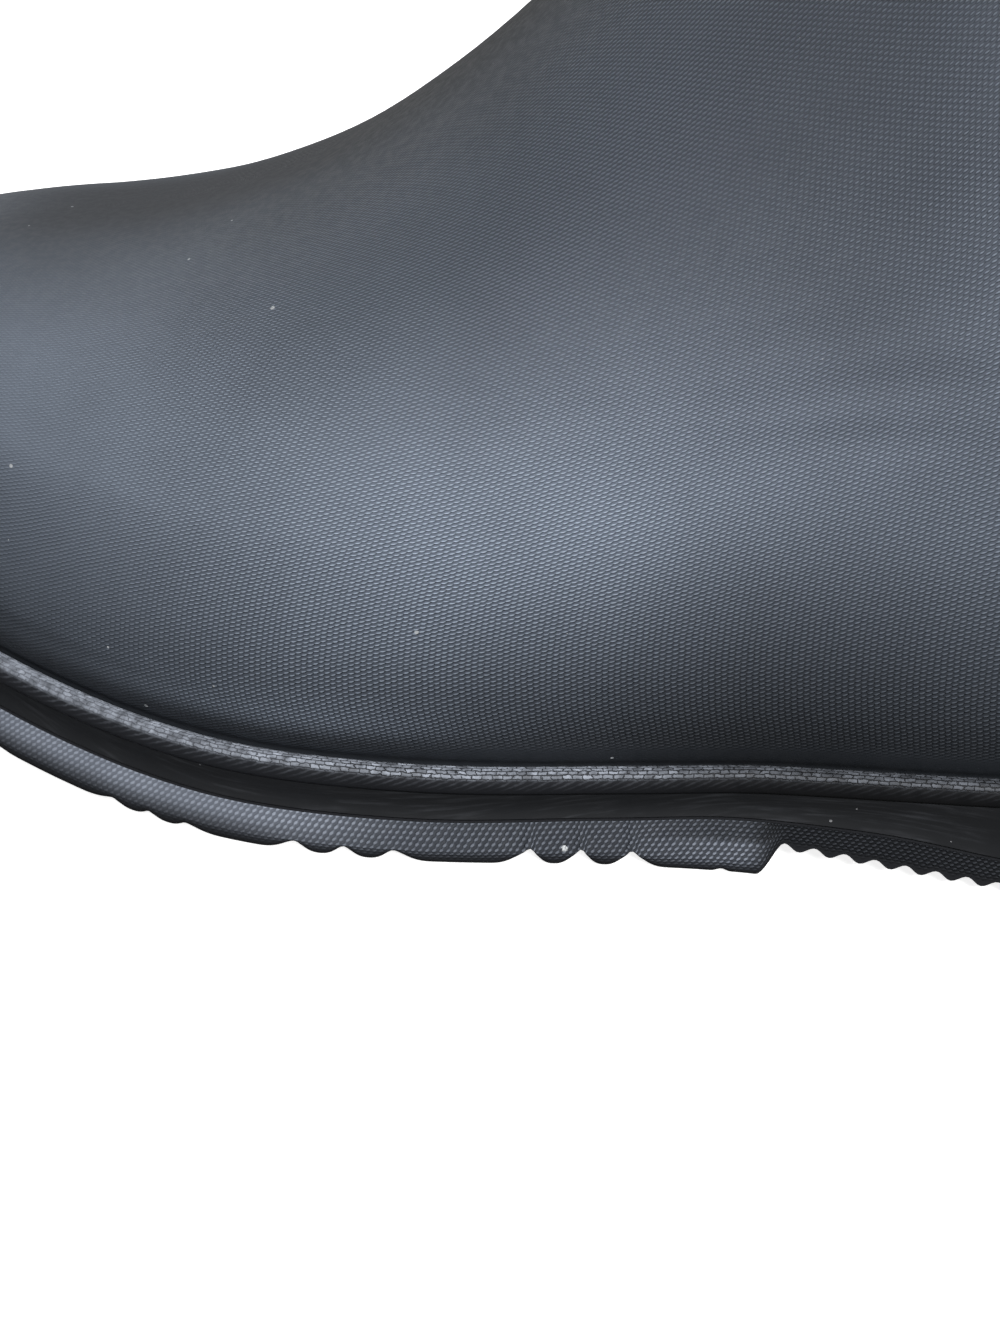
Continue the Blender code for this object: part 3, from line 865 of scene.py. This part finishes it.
def makeWelt():
    shape = weltShape
    stations = endSpaced(shape["stations"])
    rings = []
    for inset, share in shape["section"]:
        rise = share * (last["weltHeight"] + shape["swell"])
        rings.append([(x, y, seat(s) + shape["foot"] + rise) for s, x, y in outlineLoop(stations, inset)])
    rings.append(rings[0])
    lay = bandLay(rings)
    tones = []
    for r, ring in enumerate(rings):
        # painted highlight along the top of the ridge
        crest = 1.0 + weltFinish["crest"] * ramp(r, *weltFinish["crestRings"])
        tones.append([crest * along(weltFinish["tones"], 1, x) for x, y, z in ring])
    piece = ringPiece("bootWelt", rings, lay, bloom=tones)
    piece.data.materials.append(rubberWelt())
    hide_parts("welt")
    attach(piece, "root")
    return piece


def rubberWelt():
    look = weltFinish
    material, tree, shader = newMaterial("knurledRubber")
    place = tree.nodes.new("ShaderNodeTexCoord")
    grain = noiseNode(tree, place.outputs["Object"], *look["grain"])
    across, length = tree.nodes.new("ShaderNodeSeparateXYZ"), tree.nodes.new("ShaderNodeSeparateXYZ")
    tree.links.new(place.outputs["UV"], across.inputs[0])
    tree.links.new(place.outputs["Object"], length.inputs[0])
    marks = groupNode(tree, weaveGroup(), place.outputs["UV"], look["marks"])
    side = rangeNode(tree, across.outputs["Y"], *look["markFrom"])
    side = mathNode(tree, "MULTIPLY", side, look["markShare"])
    marks = mathNode(tree, "MULTIPLY", marks, side)
    stray = tree.nodes.new("ShaderNodeTexNoise")
    tree.links.new(place.outputs["UV"], stray.inputs["Vector"])
    for label, value in look["stray"].items():
        feed(tree, stray.inputs[label], value)
    shift = tree.nodes.new("ShaderNodeVectorMath")
    shift.operation = "MULTIPLY_ADD"
    tree.links.new(stray.outputs["Color"], shift.inputs[0])
    shift.inputs[1].default_value = look["strayReach"]
    tree.links.new(place.outputs["UV"], shift.inputs[2])
    dashes = tree.nodes.new("ShaderNodeTexBrick")
    tree.links.new(shift.outputs[0], dashes.inputs["Vector"])
    for label, value in look["dashes"].items():
        feed(tree, dashes.inputs[label], value)
    crisp = rangeNode(tree, length.outputs["X"], *look["crisp"])
    crest = mixNode(tree, crisp, look["blur"], dashes.outputs["Color"])
    top = rangeNode(tree, across.outputs["Y"], *look["dashFrom"])
    dash = mixNode(tree, top, marks, crest)
    worn = mathNode(tree, "MULTIPLY", dash, spreadNoise(tree, grain, *look["grainTone"]))
    # the gaps and the side of the ridge take the dark tone, painted shade
    colour = mixNode(tree, worn, look["groove"], look["ridge"])
    # tone along the length and the painted highlight along the top, from the mark
    colour = shadeNode(tree, colour, markNode(tree, "bloom"))
    finishSurface(tree, shader, colour, spreadNoise(tree, grain, *look["rough"]), look["specular"],
                  (dash, 1.0, look["depth"]), (grain, *look["grainRelief"]))
    return material


# midsole: smooth hollow band, thicker towards the heel
midsoleShape = {
    "stations": 200,
    "crease": 50.0,
    # inset from the edge of the sole, share of the height
    "section": ((1.3, 0.0), (1.36, 0.07), (1.42, 0.16), (1.45, 0.26), (1.4, 0.40), (1.25, 0.56), (0.95, 0.73),
                (0.7, 0.88), (0.5, 1.0)),
}
midsoleFinish = {
    "black": (0.013, 0.014, 0.016),
    "rubbed": (0.050, 0.053, 0.060),
    "lint": (0.22, 0.22, 0.23),
    "slant": 32.0,                         # faint rubs lie aslant along the band
    "stretch": (0.12, 1.4, 1.0),
    "rubs": (1.0, 3.0, 0.55),
    "rubShare": (0.45, 0.75, 0.0, 0.8),
    "cloud": (90.0, 5.0, 0.6),
    "cloudShare": (0.35, 0.7),
    "specks": {"Scale": 420.0, "Size": 0.085, "Share": 0.14},
    "grain": (1100.0, 3.0, 0.6),
    "grainRelief": (0.25, 0.00008),
    "rough": (0.58, 0.75),
    "specular": 0.3,
}


def makeMidsole():
    def level(share):
        return lambda s: outsoleTop(s) + last["gap"] + share * (seat(s) - outsoleTop(s) - last["gap"])

    stations = endSpaced(midsoleShape["stations"])
    rings = slabRings(stations, [(inset, level(share)) for inset, share in midsoleShape["section"]])
    piece = ringPiece("bootMidsole", rings, bandLay(rings))
    piece.data.materials.append(rubberMidsole())
    bpy.ops.object.shade_smooth_by_angle(angle=math.radians(midsoleShape["crease"]))
    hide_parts("midsole")
    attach(piece, "root")
    return piece


def rubberMidsole():
    look = midsoleFinish
    material, tree, shader = newMaterial("smoothRubber")
    place = tree.nodes.new("ShaderNodeTexCoord")
    cloud = noiseNode(tree, place.outputs["Object"], *look["cloud"])
    grain = noiseNode(tree, place.outputs["Object"], *look["grain"])
    slant = tree.nodes.new("ShaderNodeMapping")
    slant.inputs["Rotation"].default_value = (0.0, 0.0, math.radians(look["slant"]))
    slant.inputs["Scale"].default_value = look["stretch"]
    tree.links.new(place.outputs["UV"], slant.inputs["Vector"])
    rubs = noiseNode(tree, slant.outputs["Vector"], *look["rubs"])
    share = mathNode(tree, "MULTIPLY", rangeNode(tree, rubs, *look["rubShare"]),
                     rangeNode(tree, cloud, *look["cloudShare"]))
    colour = mixNode(tree, share, look["black"], look["rubbed"])
    speck = groupNode(tree, lintGroup(), place.outputs["Object"], look["specks"])
    colour = mixNode(tree, speck, colour, look["lint"])
    finishSurface(tree, shader, colour, spreadNoise(tree, cloud, *look["rough"]), look["specular"],
                  (grain, *look["grainRelief"]))
    return material


# outsole: slanted textured band over rounded lugs, a step into the toothed arch, and a heel
outsoleShape = {
    "flare": 1.7,
    "archTuck": 0.8,
    "endLength": 24.0,               # stations are closer together in the round ends
    "endStations": 90,
    "step": 0.4,
    "crease": 60.0,
    # groups of three grooves: middle, pitch, depth
    "grooveGroups": ((42.0, 4.8, 0.9), (69.9, 4.8, 0.95), (94.3, 5.9, 1.85), (122.5, 6.1, 2.75),
                     (219.0, 6.1, 2.2), (252.0, 6.1, 2.2)),
    "wideFlank": 4.6,                # flank of a group next to a wide lug
    "grooveRound": 0.14,
    "groovePower": 2.4,
    "nick": (139.8, 2.4, 0.45),      # small nick under the last wide lug: place, width, depth
    "archFrom": 144.2,
    "archTo": 196.0,
    "archStep": 3.0,
    "archHigh": 3.1,
    "archLow": 0.6,
    "toothPitch": 3.7,
    "toothDepth": 1.0,
    "heelBevel": 3.0,
    "heelBevelLength": 26.0,
    "shoulder": 2.3,                 # the band starts at this height
    "archShoulder": 1.4,             # and this much lower over the arch
    "leastLug": 0.3,
    # flare share, share of the way from the tread to the shoulder
    "lugEdge": ((-0.3, 0.0), (0.1, 0.015), (0.42, 0.07), (0.64, 0.17), (0.79, 0.33), (0.87, 0.55), (0.9, 0.8),
                (0.9, 1.0)),
    "band": (0.14, 0.28, 0.38, 0.46, 0.53, 0.66, 0.80, 0.93, 1.0),
    "topInset": (1.0, 1.2),          # of the band's top edge, of the flat top
    "pad": (126.0, 141.0, 0.35),     # facet that swells along the last wide lug: from, to, size
    "padTop": (0.52, 0.12),          # share of the band where it ends, and its fade
    "padFoot": (0.2, 0.7),           # flare share where it starts, and its fade
}
outsoleFinish = {
    "band": (0.250, 0.276, 0.330),
    # painted shade between the dashes, also the tone of darker random patches
    "valley": (0.044, 0.050, 0.063),
    # underneath, and painted shade on the lugs' lower edge
    "under": (0.017, 0.018, 0.021),
    "weave": {"Column Pitch": 0.42, "Row Pitch": 1.04, "Twill": -0.3, "Flatten": 0.5, "Unevenness": 0.35,
              "Wander": 0.35, "Low": -0.55, "High": 0.95},
    "rowScale": 1.1,
    "side": (0.2, 1.1),                    # rise over which the pale side comes in, and goes out; below it the lugs' lower edge keeps the dark tone, painted shade
    "sideEnd": (2.1, 2.7, 1.0, 0.0),
    "crisp": (-0.075, -0.03, 0.45, 1.0),   # the dashes are weaker towards the toe
    "crispMean": 0.45,
    # one pale chip of grit on a lug: colour, place, edge from full to none, raggedness
    "chip": (0.55, 0.57, 0.58),
    "chipAt": (-0.02423, -0.04852, 0.0028),
    "chipEdge": (0.0002, 0.00042, 1.0, 0.0),
    "chipRagged": (0.6, 1.5),
    # place, share of the pale tone; lowest over the arch, painted shade where the sole is tucked in
    "tones": ((60.0, 1.3), (86.0, 1.2), (102.0, 0.66), (124.0, 0.5), (132.0, 0.56), (142.0, 0.62),
              (146.0, 0.17), (194.0, 0.17), (200.0, 0.75)),
    "facet": (0.35, -0.4, 1.5),            # change of tone on the pad, over it, and the rise between
    "dull": 0.78,                          # painted shade: the foot of the band is darker towards the toe
    "dullRise": (1.7, 1.0),
    "dullLength": (108.0, 74.0),
    "cloud": (60.0, 4.0, 0.6),
    "cloudShare": (0.35, 0.7, 0.0, 0.3),
    "grain": (800.0, 4.0, 0.6),
    "grainRelief": (0.3, 0.0001),
    "depth": 0.0002,
    "rough": (0.62, 0.8),
    "specular": 0.2,
}


def inArch(x):
    shape = outsoleShape
    return soft(min(x - shape["archFrom"], shape["archTo"] - x) / shape["archStep"])


def archLevel(x):
    shape = outsoleShape
    share = (x - shape["archFrom"]) / (shape["archTo"] - shape["archFrom"])
    return shape["archHigh"] + (shape["archLow"] - shape["archHigh"]) * share


def tread(x):
    # height of the sole's underside
    shape = outsoleShape
    bevel = max(0.0, 1.0 - (last["length"] - x) / shape["heelBevelLength"])
    turn = (x - shape["archFrom"] - shape["archStep"]) / shape["toothPitch"]
    teeth = shape["toothDepth"] * (0.5 + 0.5 * math.cos(2.0 * math.pi * turn))
    bend = shape["grooveRound"]
    cut = 0.0
    for middle, pitch, depth in shape["grooveGroups"]:
        for k in (-1, 0, 1):
            away = x - middle - k * pitch
            flank = shape["wideFlank"] if away * k > 0.0 else 0.5 * pitch
            t = (math.hypot(away / flank, bend) - bend) / (math.hypot(1.0, bend) - bend)
            cut += depth * max(0.0, 1.0 - t) ** shape["groovePower"]
    place, width, depth = shape["nick"]
    cut += depth * math.cos(0.5 * math.pi * min(abs(x - place) / (0.5 * width), 1.0)) ** 2
    return spring(x) + shape["heelBevel"] * bevel ** 2 + inArch(x) * (archLevel(x) + teeth) + cut


def makeOutsole():
    shape, look = outsoleShape, outsoleFinish
    length, end = last["length"], shape["endLength"]
    stations = [s for s in endSpaced(shape["endStations"]) if s < end or s > length - end]
    stations += [end + shape["step"] * k for k in range(int((length - 2.0 * end) / shape["step"]) + 1)]
    stations.sort()

    def out(size):
        return lambda s: -size * shape["flare"] + (size * shape["flare"] + shape["archTuck"]) * inArch(s)

    def shoulder(s):
        arch = archLevel(s) + shape["toothDepth"]
        return spring(s) + shape["shoulder"] + max(0.0, inArch(s) * (arch - shape["archShoulder"]))

    def lugTop(s):
        return max(shoulder(s), tread(s) + shape["leastLug"])

    def pad(s):
        start, full, size = shape["pad"]
        if s > shape["archTo"] - shape["archStep"]:
            return 0.0
        return size * soft((s - start) / (full - start)) * (1.0 - inArch(s))

    def lug(share):
        return lambda s: tread(s) + share * (lugTop(s) - tread(s))

    def between(share):
        return lambda s: lugTop(s) * (1.0 - share) + share * outsoleTop(s)

    def slant(share):
        low, high = out(shape["lugEdge"][-1][0]), shape["topInset"][0]
        top, fade = shape["padTop"]
        return lambda s: low(s) + (high - low(s)) * share - pad(s) * soft((top - share) / fade)

    def edge(size):
        foot, fade = shape["padFoot"]
        return lambda s: out(size)(s) - pad(s) * soft((size - foot) / fade)

    profile = [(edge(size), lug(share)) for size, share in shape["lugEdge"]]
    profile += [(slant(share), between(share)) for share in shape["band"]]
    profile.append((shape["topInset"][1], outsoleTop))
    rings = slabRings(stations, profile)
    # rise of each ring: 0 to 1 up the lugs, 1 to 2 up the band, less underneath, more on top
    rises = [-1.0] + [share for size, share in shape["lugEdge"]] + [1.0 + share for share in shape["band"]]
    rises += [3.0, 3.0]
    lay = bandLay(rings)
    tones = []
    for r, ring in enumerate(rings):
        for k in range(len(ring) + 1):
            x, y, z = ring[k % len(ring)]
            lay[r][k] = (lay[r][k][0], look["rowScale"] * (z - outsoleTop(x)))
        low, high, split = look["facet"]
        facet = low if rises[r] < split else high
        # painted shade on the foot of the band
        foot = look["dull"] * ramp(rises[r], *look["dullRise"])
        tone = []
        for x, y, z in ring:
            dull = 1.0 - foot * ramp(x, *look["dullLength"])
            tone.append(along(look["tones"], 1, x) * (1.0 + facet * pad(x) / shape["pad"][2]) * dull)
        tones.append(tone)
    piece = ringPiece("bootOutsole", rings, lay, rise=[[rise] * len(rings[0]) for rise in rises], bloom=tones)
    piece.data.materials.append(rubberOutsole())
    bpy.ops.object.shade_smooth_by_angle(angle=math.radians(shape["crease"]))
    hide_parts("outsole")
    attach(piece, "root")
    return piece


def rubberOutsole():
    look = outsoleFinish
    material, tree, shader = newMaterial("lugRubber")
    place = tree.nodes.new("ShaderNodeTexCoord")
    weave = groupNode(tree, weaveGroup(), place.outputs["UV"], look["weave"])
    grain = noiseNode(tree, place.outputs["Object"], *look["grain"])
    cloud = noiseNode(tree, place.outputs["Object"], *look["cloud"])
    rise = markNode(tree, "rise")
    side = mathNode(tree, "MULTIPLY", rangeNode(tree, rise, *look["side"]),
                    rangeNode(tree, rise, *look["sideEnd"]))
    length = tree.nodes.new("ShaderNodeSeparateXYZ")
    tree.links.new(place.outputs["Object"], length.inputs[0])
    crisp = rangeNode(tree, length.outputs["X"], *look["crisp"])
    weave = mathNode(tree, "SUBTRACT", weave, look["crispMean"])
    weave = mathNode(tree, "MULTIPLY", weave, crisp)
    weave = mathNode(tree, "ADD", weave, look["crispMean"])
    dash = mathNode(tree, "MULTIPLY", weave, side)
    # painted shade: the ground between the dashes is darker; random patches go to the same dark tone
    colour = mixNode(tree, dash, look["valley"], look["band"])
    colour = mixNode(tree, rangeNode(tree, cloud, *look["cloudShare"]), colour, look["valley"])
    # tone along the length, with painted shade over the arch and on the foot of the band, from the mark
    colour = shadeNode(tree, colour, markNode(tree, "bloom"))
    # the lugs' lower edge and the underside take the dark tone, painted shade on the edge
    colour = mixNode(tree, side, look["under"], colour)
    spot = tree.nodes.new("ShaderNodeVectorMath")
    spot.operation = "DISTANCE"
    tree.links.new(place.outputs["Object"], spot.inputs[0])
    spot.inputs[1].default_value = look["chipAt"]
    ragged = spreadNoise(tree, grain, *look["chipRagged"])
    ragged = mathNode(tree, "MULTIPLY", spot.outputs["Value"], ragged)
    colour = mixNode(tree, rangeNode(tree, ragged, *look["chipEdge"]), colour, look["chip"])
    finishSurface(tree, shader, colour, spreadNoise(tree, grain, *look["rough"]), look["specular"],
                  (dash, 1.0, look["depth"]), (grain, *look["grainRelief"]))
    return material


# insole: napped footbed with a rolled edge
insoleShape = {
    "thickness": 4.0,
    "inset": 6.8,
    "stations": 120,
    "crease": 50.0,
    # further inset, share of the thickness
    "edge": ((0.0, 0.0), (0.0, 0.6), (0.06, 0.78), (0.3, 0.9), (0.7, 0.97), (1.2, 1.0)),
}
insoleFinish = {
    "deep": (0.045, 0.047, 0.053),
    "tip": (0.160, 0.166, 0.178),
    "nap": (1200.0, 5.0, 0.7),
    "napRelief": (0.8, 0.0004),
    "cloud": (70.0, 4.0, 0.6),
    "rough": 0.95,
    "specular": 0.1,
}


def makeInsole():
    shape = insoleShape

    def level(share):
        return lambda s: seat(s) + last["gap"] + share * shape["thickness"]

    profile = [(shape["inset"] + step, level(share)) for step, share in shape["edge"]]
    rings = slabRings(endSpaced(shape["stations"]), profile)
    piece = ringPiece("bootInsole", rings, bandLay(rings))
    piece.data.materials.append(insoleNap())
    bpy.ops.object.shade_smooth_by_angle(angle=math.radians(shape["crease"]))
    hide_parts("insole")
    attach(piece, "root")
    return piece


def insoleNap():
    look = insoleFinish
    material, tree, shader = newMaterial("insoleNap")
    place = tree.nodes.new("ShaderNodeTexCoord")
    nap = noiseNode(tree, place.outputs["Object"], *look["nap"])
    cloud = noiseNode(tree, place.outputs["Object"], *look["cloud"])
    share = mathNode(tree, "MULTIPLY", nap, cloud)
    colour = mixNode(tree, share, look["deep"], look["tip"])
    finishSurface(tree, shader, colour, look["rough"], look["specular"], (nap, *look["napRelief"]))
    return material


makeUpper()
print("upper done")
makeWelt()
makeMidsole()
makeOutsole()
print("sole done")
makeInsole()
print("insole done")

# pale floor and soft light
studio = {
    "floor": ((0.8471, 0.8471, 0.8471), (0.86, 0.86, 0.86)),
    "floorSize": 8.0,
    "floorGlow": 0.85,
    "world": 0.10,
    "backdrop": 0.88,
    "aim": (-0.03, -0.02, 0.04),
    # place, power, size
    "front": ((0.16, -0.66, 0.72), 12.0, 0.4),
    "inner": ((0.42, 0.88, 0.34), 8.0, 0.7),
    "heel": ((0.98, 0.05, 0.40), 5.0, 0.6),
    "toe": ((-0.85, 0.60, 0.30), 4.0, 0.6),
}


def makeFloor():
    bpy.ops.object.select_all(action="DESELECT")
    bpy.ops.mesh.primitive_plane_add(size=studio["floorSize"])
    floor = bpy.context.active_object
    floor.name = floor.data.name = "floor"
    material, tree, shader = newMaterial("paleFloor")
    place = tree.nodes.new("ShaderNodeTexCoord")
    tone = noiseNode(tree, place.outputs["Object"], 3.0)
    tree.links.new(mixNode(tree, tone, *studio["floor"]), shader.inputs["Base Color"])
    shader.inputs["Roughness"].default_value = 0.9
    shader.inputs["Specular IOR Level"].default_value = 0.2
    shader.inputs["Emission Color"].default_value = (1.0, 1.0, 1.0, 1.0)
    shader.inputs["Emission Strength"].default_value = studio["floorGlow"]
    floor.data.materials.append(material)
    floor.visible_diffuse = False      # no light thrown up from under the boot
    floor.visible_glossy = False


def makeLight(name, place, power, size):
    bpy.ops.object.light_add(type="AREA", location=place)
    light = bpy.context.active_object
    light.name = name
    light.data.energy = power
    light.data.shape = "DISK"
    light.data.size = size
    light.rotation_euler = (Vector(studio["aim"]) - Vector(place)).to_track_quat("-Z", "Y").to_euler()


def setWorld():
    world = bpy.data.worlds.new("studio")
    bpy.context.scene.world = world
    world.use_nodes = True
    tree = world.node_tree
    sky = tree.nodes["Background"]
    sky.inputs["Color"].default_value = (1.0, 1.0, 1.0, 1.0)
    seen = tree.nodes.new("ShaderNodeLightPath").outputs["Is Camera Ray"]
    pale = mathNode(tree, "MULTIPLY", seen, studio["backdrop"])      # a backdrop that adds no light
    tree.links.new(mathNode(tree, "ADD", pale, studio["world"]), sky.inputs["Strength"])
    bpy.context.scene.view_settings.view_transform = "Standard"


makeFloor()
for name in ("front", "inner", "heel", "toe"):
    makeLight(name, *studio[name])
setWorld()
print("studio done")

bpy.context.view_layer.update()
